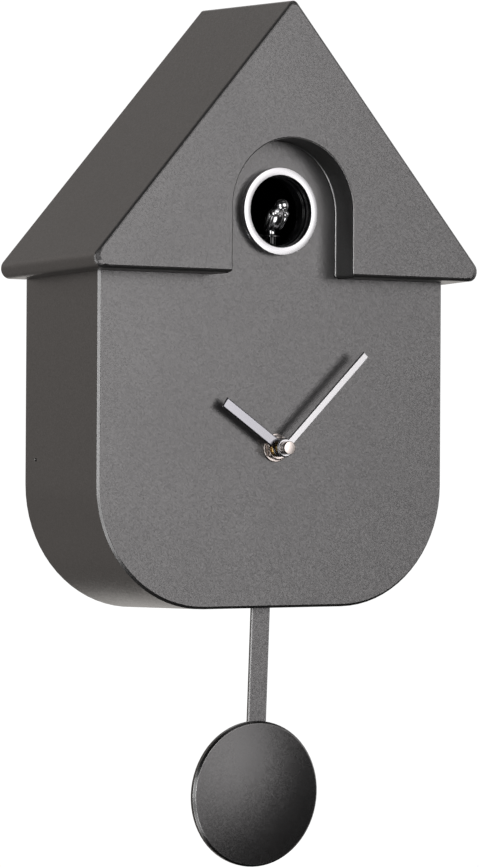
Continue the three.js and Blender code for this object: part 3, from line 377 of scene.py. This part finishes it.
# Pieces whose finish differs from the rest of their slot. The darker tones of the bob and the hour hand are
# painted shade.
OWN_FINISHES = {
    # The bob's lacquer is the case's anthracite at half the tone, which is painted shade; its lower roughness and
    # finer flake tilt are its own.
    "pendulum_bob": anthracite("bob_shaded_lacquer", tone=0.098, rough=(0.26, 0.28), tilt=0.05),
    # The hour hand is the minute hand's silver at a darker tone, which is painted shade.
    "hour_hand": metal(
        "hour_hand_shaded_satin", (0.38, 0.38, 0.41), (0.43, 0.43, 0.46), 0.8 * MM, (0.2, 0.24), 0.001 * MM
    ),
    "bird": metal(
        "bird_chrome", (0.75, 0.75, 0.76), (0.85, 0.85, 0.86), 0.4 * MM, (0.16, 0.22), 0.003 * MM
    ),
}


def dress(node, mesh):
    """Gives a mesh the finish of the CAD node that it is or replaces."""
    mesh.materials.clear()
    mesh.materials.append(OWN_FINISHES.get(node, FINISHES[SLOT_OF[node]]))


# Mesh building.

# Edges that turn more than this many degrees show as edges, in CAD copies and turned pieces.
CAD_CREASE = 30
TURNED_CREASE = 60


def add_object(name, mesh):
    piece = bpy.data.objects.new(name, mesh)
    bpy.context.scene.collection.objects.link(piece)
    return piece


def shade(mesh, sharp_angle):
    """Smooth shading, apart from edges that turn more than sharp_angle degrees."""
    for polygon in mesh.polygons:
        polygon.use_smooth = True
    mesh.set_sharp_from_angle(angle=math.radians(sharp_angle))


def stand_in(node, mesh, sharp_angle):
    """Puts a new mesh in the place of a CAD node, in that node's body and finish."""
    piece = add_object(f"{node}_finished", mesh)
    shade(mesh, sharp_angle)
    dress(node, mesh)
    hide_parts(node)
    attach(piece, BODY_OF[node])
    return piece


def clean_copy(node):
    """A copy of a CAD node's mesh, welded, with its flat faces whole again."""
    mesh = NODES[node].data.copy()
    shape = bmesh.new()
    shape.from_mesh(mesh)
    bmesh.ops.remove_doubles(shape, verts=shape.verts, dist=0.001 * MM)
    bmesh.ops.dissolve_limit(
        shape, angle_limit=math.radians(0.5), verts=shape.verts, edges=shape.edges
    )
    shape.to_mesh(mesh)
    shape.free()
    return mesh


def soften(node, width):
    """The CAD node with its edges broken by narrow bevels between evenly shaded faces."""
    piece = stand_in(node, clean_copy(node), CAD_CREASE)
    bevel = piece.modifiers.new("rounded_edges", "BEVEL")
    bevel.width = width
    bevel.segments = 1
    bevel.limit_method = "ANGLE"
    bevel.angle_limit = math.radians(CAD_CREASE)
    bevel.use_clamp_overlap = False
    bevel.face_strength_mode = "FSTR_ALL"
    even = piece.modifiers.new("even_shading", "WEIGHTED_NORMAL")
    even.mode = "FACE_AREA"
    even.weight = 100
    even.keep_sharp = True
    even.use_face_influence = True


def turned(node, profile, sides):
    """Replaces a CAD node by a section of (radius, y) pairs turned about the node's axis."""
    low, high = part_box(node)
    x, _, z = (low + high) / 2
    shape = bmesh.new()
    verts = [shape.verts.new((x + radius, y, z)) for radius, y in profile]
    edges = [shape.edges.new(pair) for pair in zip(verts, verts[1:])]
    bmesh.ops.spin(
        shape,
        geom=verts + edges,
        cent=(x, 0, z),
        axis=(0, 1, 0),
        angle=2 * math.pi,
        steps=sides,
        use_merge=True,
    )
    bmesh.ops.remove_doubles(shape, verts=shape.verts, dist=0.0005 * MM)
    bmesh.ops.recalc_face_normals(shape, faces=shape.faces)
    mesh = bpy.data.meshes.new("turned")
    shape.to_mesh(mesh)
    shape.free()
    stand_in(node, mesh, TURNED_CREASE)


# Straight stretches of a rounded corner, and the most of a side that one corner may take.
CORNER_STEPS = 4
CORNER_SHARE = 0.45


def rounded_profile(points, radius, closed=True):
    """The (radius, y) pairs with each corner replaced by a small curve."""
    corners = [Vector(point) for point in points]
    count = len(corners)
    result = []
    for i, corner in enumerate(corners):
        if not closed and i in (0, count - 1):
            result.append(corner)
            continue
        before = corners[i - 1] - corner
        after = corners[(i + 1) % count] - corner
        reach = min(radius, before.length * CORNER_SHARE, after.length * CORNER_SHARE)
        start = corner + before.normalized() * reach
        end = corner + after.normalized() * reach
        for k in range(CORNER_STEPS + 1):
            share = k / CORNER_STEPS
            first = start.lerp(corner, share)
            second = corner.lerp(end, share)
            result.append(first.lerp(second, share))
    if closed:
        result.append(result[0])
    return result


def round_extent(node):
    """Front y, rear y and outer radius of a round piece whose axis is along Y."""
    low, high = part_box(node)
    return low.y, high.y, (high.x - low.x) / 2


# Pieces with a mesh of their own.


def window_ring():
    """The bright ring: a flat front, a fine groove round its side and a spigot in the case."""
    front, rear, outer = round_extent("window_ring")
    inner = outer - 3.4 * MM
    spigot = outer - 1.8 * MM
    bore = spigot - 0.9 * MM
    seat = front + 3.2 * MM
    shoulder = rear - 4.05 * MM
    groove = (front + shoulder) / 2
    section = [
        (inner, front),
        (outer, front),
        (outer, groove - 0.35 * MM),
        (outer - 0.3 * MM, groove),
        (outer, groove + 0.35 * MM),
        (outer, shoulder),
        (spigot, shoulder),
        (spigot, rear),
        (bore, rear),
        (bore, seat),
        (inner, seat),
    ]
    turned("window_ring", rounded_profile(section, 0.15 * MM), sides=128)


def window_liner():
    """The glossy black tunnel behind the ring, with one step in its bore."""
    front, rear, outer = round_extent("window_liner")
    bore = outer - 0.95 * MM
    throat = outer - 1.6 * MM
    step = rear - 5.8 * MM
    section = [
        (bore, front),
        (outer, front),
        (outer, rear),
        (throat, rear),
        (throat, step + 0.4 * MM),
        (bore, step),
    ]
    turned("window_liner", rounded_profile(section, 0.15 * MM), sides=128)


def dial_washer():
    front, rear, outer = round_extent("dial_washer")
    inner = outer - 2.4 * MM
    section = [(inner, front), (outer, front), (outer, rear), (inner, rear)]
    turned("dial_washer", rounded_profile(section, 0.25 * MM), sides=128)


def cap_nut():
    """Plain round nut that closes the end of the arbor, with a softly broken front edge."""
    front, rear, outer = round_extent("cap_nut")
    bore = 1.25 * MM
    closed_end = front + MM
    section = [
        (0, front),
        (outer, front),
        (outer, rear),
        (bore, rear),
        (bore, closed_end),
        (0, closed_end),
    ]
    turned("cap_nut", rounded_profile(section, 0.25 * MM, closed=False), sides=96)


# The bird's lumps along its leaning axes, in millimetres: radii, and place from the chest.
BIRD_LUMPS = {
    "body": ((3.5, 3.8, 6), (0, 0, -0.6)),
    "head": ((3.25, 3.25, 3.25), (0, -0.4, 7)),
    "collar": ((3.5, 3.5, 0.7), (0, -0.2, 4.3)),
    "beak": ((0.9, 2.6, 0.8), (0, -3.6, 6.8)),
    "tail": ((1.9, 0.8, 4), (0, 3.6, -6)),
    "left_shoulder": ((1.6, 2.1, 1.7), (-3.2, -0.8, 3.2)),
    "right_shoulder": ((1.6, 2.1, 1.7), (3.2, -0.8, 3.2)),
}
FEATHER_RADII = (0.9, 1.1, 4.6)
FOOT_RADIUS = 1.9 * MM
FOOT_HEIGHT = 4 * MM


def bird():
    """A bird leaning forward: ball head, collar, beak, tail, ribbed wings and a round foot."""
    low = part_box("bird")[0]
    chest = Vector((0, low.y + 10.3 * MM, low.z + 7.3 * MM))
    lean = Matrix.Rotation(math.radians(38), 4, "X")
    shape = bmesh.new()

    def lump(radii, place, tilt=0.0):
        """An ellipsoid along the leaning axes, tilted sideways by some degrees."""
        stand = Matrix.Translation(chest) @ lean @ Matrix.Translation(Vector(place) * MM)
        size = Matrix.Diagonal((*(radius * MM for radius in radii), 1))
        turn = Matrix.Rotation(math.radians(tilt), 4, "Y")
        bmesh.ops.create_uvsphere(
            shape, u_segments=40, v_segments=24, radius=1, matrix=stand @ turn @ size
        )

    for radii, place in BIRD_LUMPS.values():
        lump(radii, place)
    for side in (-1, 1):
        for spread in (-1.6, 1.2):
            lump(FEATHER_RADII, (3.5 * side, spread, -1), tilt=5 * side)
    post_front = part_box("bird_post")[0].y
    foot_place = Vector((0, post_front + 3.9 * MM, low.z + FOOT_HEIGHT / 2))
    bmesh.ops.create_cone(
        shape,
        cap_ends=True,
        segments=32,
        radius1=FOOT_RADIUS,
        radius2=FOOT_RADIUS,
        depth=FOOT_HEIGHT,
        matrix=Matrix.Translation(foot_place),
    )
    mesh = bpy.data.meshes.new("bird")
    shape.to_mesh(mesh)
    shape.free()
    piece = stand_in("bird", mesh, sharp_angle=180)
    remesh = piece.modifiers.new("one_skin", "REMESH")
    remesh.mode = "VOXEL"
    remesh.voxel_size = 0.18 * MM
    remesh.use_smooth_shade = True
    smooth = piece.modifiers.new("soft_joins", "SMOOTH")
    smooth.factor = 0.5
    smooth.iterations = 4


def speaker_cone():
    """The paper cone, open to the rear, with three pressed ripples and a domed dust cap."""
    front, rear, outer = round_extent("speaker_cone")
    middle = front + 0.5 * MM
    flare_depth = rear - front - 0.9 * MM
    ripple_depth = 0.16 * MM
    cap_height = 1.2 * MM
    cap_share = 0.25
    rings = 40
    front_side = []
    rear_side = []
    for k in range(rings + 1):
        share = k / rings
        radius = outer * share
        flare = flare_depth * max(0.0, share - cap_share) / (1 - cap_share)
        ripple = ripple_depth * math.cos(6 * math.pi * share)
        dome = cap_height * max(0.0, 1 - (share / cap_share) ** 2)
        sheet = middle + flare + ripple
        rear_side.append((radius, min(rear, sheet + dome + 0.3 * MM)))
        front_side.append((radius, sheet - 0.2 * MM))
    turned("speaker_cone", front_side + rear_side[::-1], sides=96)


window_ring()
window_liner()
dial_washer()
cap_nut()
bird()
speaker_cone()
soften("roof_shell", 0.35 * MM)
soften("body_shell", 0.12 * MM)
for name in ("pendulum_rod", "minute_hand", "hex_nut", "bird_post", "hour_hand"):
    soften(name, 0.08 * MM)
stand_in("pendulum_bob", clean_copy("pendulum_bob"), CAD_CREASE)
for name in ("back_cover", "battery_door", "battery_tray", "set_knob"):
    soften(name, 0.3 * MM)
for name in ("hanger_plate", "volume_slider", "test_button", "wall_pad_left", "wall_pad_right"):
    soften(name, 0.15 * MM)

# The CAD nodes that nothing has replaced are seen as they are.
for name, node in NODES.items():
    if not node.hide_render:
        dress(name, node.data)


# Studio.

FLOOR_RADIUS = 1.1
FLOOR_DROP = 0.25


def studio_floor():
    """A plain pale disc below the clock, which hangs clear of it."""
    low, high = CAD_BOUNDS
    centre = (low + high) / 2
    shape = bmesh.new()
    bmesh.ops.create_circle(shape, cap_ends=True, segments=96, radius=FLOOR_RADIUS)
    mesh = bpy.data.meshes.new("studio_floor")
    shape.to_mesh(mesh)
    shape.free()
    floor = add_object("studio_floor", mesh)
    floor.location = (centre.x, centre.y, low.z - FLOOR_DROP)
    graph = Graph("floor_paper", (0.85, 0.85, 0.84), roughness=0.9, Emission_Strength=0.6)
    graph.shader.inputs["Emission Color"].default_value = (1, 1, 1, 1)
    mottle = graph.noise(0.2, detail=3)
    graph.colour(graph.blend(graph.spread(mottle, 0, 1), (0.84, 0.84, 0.83), (0.87, 0.87, 0.865)))
    mesh.materials.append(graph.material)
    floor.visible_glossy = False
    floor.visible_diffuse = False


def direction(azimuth, elevation):
    """Unit vector; azimuth 0 is the way that the clock faces, and 90 is towards +X."""
    turn = math.radians(azimuth)
    rise = math.radians(elevation)
    flat = math.cos(rise)
    return math.sin(turn) * flat, -math.cos(turn) * flat, math.sin(rise)


# Soft lights round the clock: direction, reach of the full and of the faded part in
# degrees, strength and tint.
STUDIO_LIGHTS = {
    "front": (direction(11, 9), (12, 32), 1.7, (1, 0.975, 0.98)),
    "front_right": (direction(26, 3), (4, 13), 1.0, (1, 0.975, 0.98)),
    "left": (direction(-60, 2), (7, 18), 4.2, (1, 1, 1)),
    "lower_left": (direction(-58, -33), (6, 20), 3.0, (1, 1, 1)),
    "rear_right": (direction(147, -20), (6, 22), 1.0, (1, 0.96, 0.92)),
    "right": (direction(98, 8), (12, 42), 0.7, (1, 0.985, 0.98)),
    "right_high": (direction(140, 38), (12, 30), 0.8, (1, 0.985, 0.98)),
    "above": (direction(90, 82), (8, 28), 0.6, (1, 0.985, 0.98)),
    "rear_left": (direction(-148, -8), (20, 65), 0.31, (1, 0.92, 0.86)),
    "overhead": (direction(-170, 40), (15, 50), 0.25, (1, 0.94, 0.9)),
}
AMBIENT = (0.01, 0.01, 0.01)
BACKDROP_STRENGTH = 1.05

# The camera's place from the centre of the hands, in metres, and its turns in degrees.
CAMERA_PLACE = Vector((-0.8752, -1.3496, -0.0035))
CAMERA_YAW = 32.39
CAMERA_PITCH = 0.3526
CAMERA_ROLL = 0.3201


def soft_light(tree, ray, towards, reach, strength, tint):
    """The light that one of STUDIO_LIGHTS gives along a ray."""
    patch = tree.nodes.new("ShaderNodeMapRange")
    patch.interpolation_type = "SMOOTHSTEP"
    full, faded = (math.cos(math.radians(angle)) for angle in reach)
    patch.inputs["From Min"].default_value = faded
    patch.inputs["From Max"].default_value = full
    tree.link(tree.vector_math("DOT_PRODUCT", ray, towards), patch.inputs["Value"])
    glow = tuple(strength * channel for channel in tint)
    return tree.vector_math("MULTIPLY", glow, patch.outputs["Result"])


def studio_world():
    """Soft lights as smooth patches of a dim sky; the camera itself sees plain white."""
    world = bpy.data.worlds.new("studio")
    bpy.context.scene.world = world
    world.use_nodes = True
    tree = Tree(world)
    ray = tree.nodes.new("ShaderNodeTexCoord").outputs["Generated"]
    sky = AMBIENT
    for light in STUDIO_LIGHTS.values():
        sky = tree.vector_math("ADD", sky, soft_light(tree, ray, *light))
    studio = tree.nodes["Background"]
    tree.link(sky, studio.inputs["Color"])
    backdrop = tree.nodes.new("ShaderNodeBackground")
    backdrop.inputs["Color"].default_value = (1, 1, 1, 1)
    backdrop.inputs["Strength"].default_value = BACKDROP_STRENGTH
    choose = tree.nodes.new("ShaderNodeMixShader")
    seen_by_camera = tree.nodes.new("ShaderNodeLightPath").outputs["Is Camera Ray"]
    tree.link(seen_by_camera, choose.inputs["Fac"])
    tree.link(studio.outputs["Background"], choose.inputs[1])
    tree.link(backdrop.outputs["Background"], choose.inputs[2])
    tree.link(choose.outputs["Shader"], tree.nodes["World Output"].inputs["Surface"])


def studio_camera():
    """From the left at the height of the hands, level to within half a degree."""
    data = bpy.data.cameras.new("camera")
    data.sensor_width = 36
    data.lens = 147.4
    camera = bpy.data.objects.new("camera", data)
    bpy.context.scene.collection.objects.link(camera)
    place = Matrix.Translation(HANDS_CENTRE + CAMERA_PLACE)
    yaw = Matrix.Rotation(math.radians(-CAMERA_YAW), 4, "Z")
    pitch = Matrix.Rotation(math.radians(90 + CAMERA_PITCH), 4, "X")
    roll = Matrix.Rotation(math.radians(CAMERA_ROLL), 4, "Z")
    camera.matrix_world = place @ yaw @ pitch @ roll
    bpy.context.scene.camera = camera


studio_floor()
studio_world()
studio_camera()
bpy.context.scene.view_settings.view_transform = "Standard"
